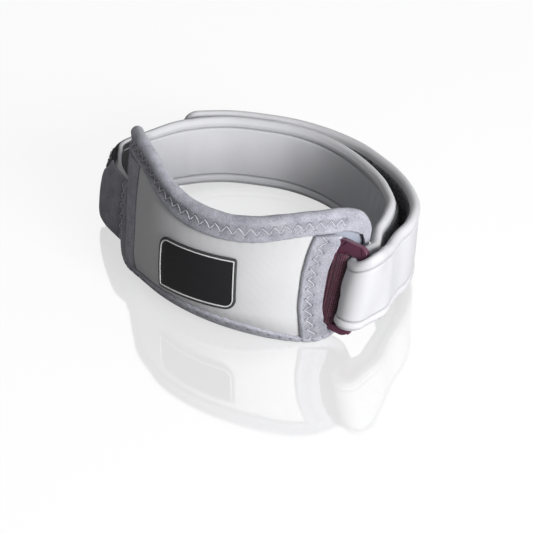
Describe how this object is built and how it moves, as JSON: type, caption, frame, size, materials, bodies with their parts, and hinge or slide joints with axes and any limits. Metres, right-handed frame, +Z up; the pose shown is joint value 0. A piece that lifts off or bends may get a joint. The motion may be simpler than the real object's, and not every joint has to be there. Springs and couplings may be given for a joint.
{
  "type": "patellar knee brace",
  "caption": "Padded patellar knee brace: a curved front pad with a bare label, and a padded strap that goes round the leg, through a moulded ring and back over itself.",
  "frame": {"origin": "middle of the footprint on the floor that the brace stands on", "axes": "+X from the pad's left end to the ring, +Y from the pad to the back of the leg, +Z up"},
  "size_m": [0.142, 0.115, 0.0559],
  "materials": {
    "lining": "smooth knitted lining over foam",
    "face": "fine silver grey knit",
    "velour": "short bluish grey velour",
    "strap": "smooth light grey knit over foam",
    "pile": "black loop pile",
    "hook": "black hook tape",
    "ring": "moulded burgundy, glossy",
    "webbing": "woven burgundy webbing",
    "label": "black moulded rubber, satin",
    "label_line": "white moulded rubber line"
  },
  "bodies": {
    "root": {"pad_body": "lining", "pad_face": "face", "pad_binding": "velour", "side_strip_left": "velour", "side_strip_right": "velour", "label_patch": "label", "label_line": "label_line", "strap": "strap", "strap_end_cover": "velour", "strap_pile": "pile", "hook_patch": "hook", "strap_ring": "ring", "ring_webbing": "webbing"}
  },
  "joints": []
}
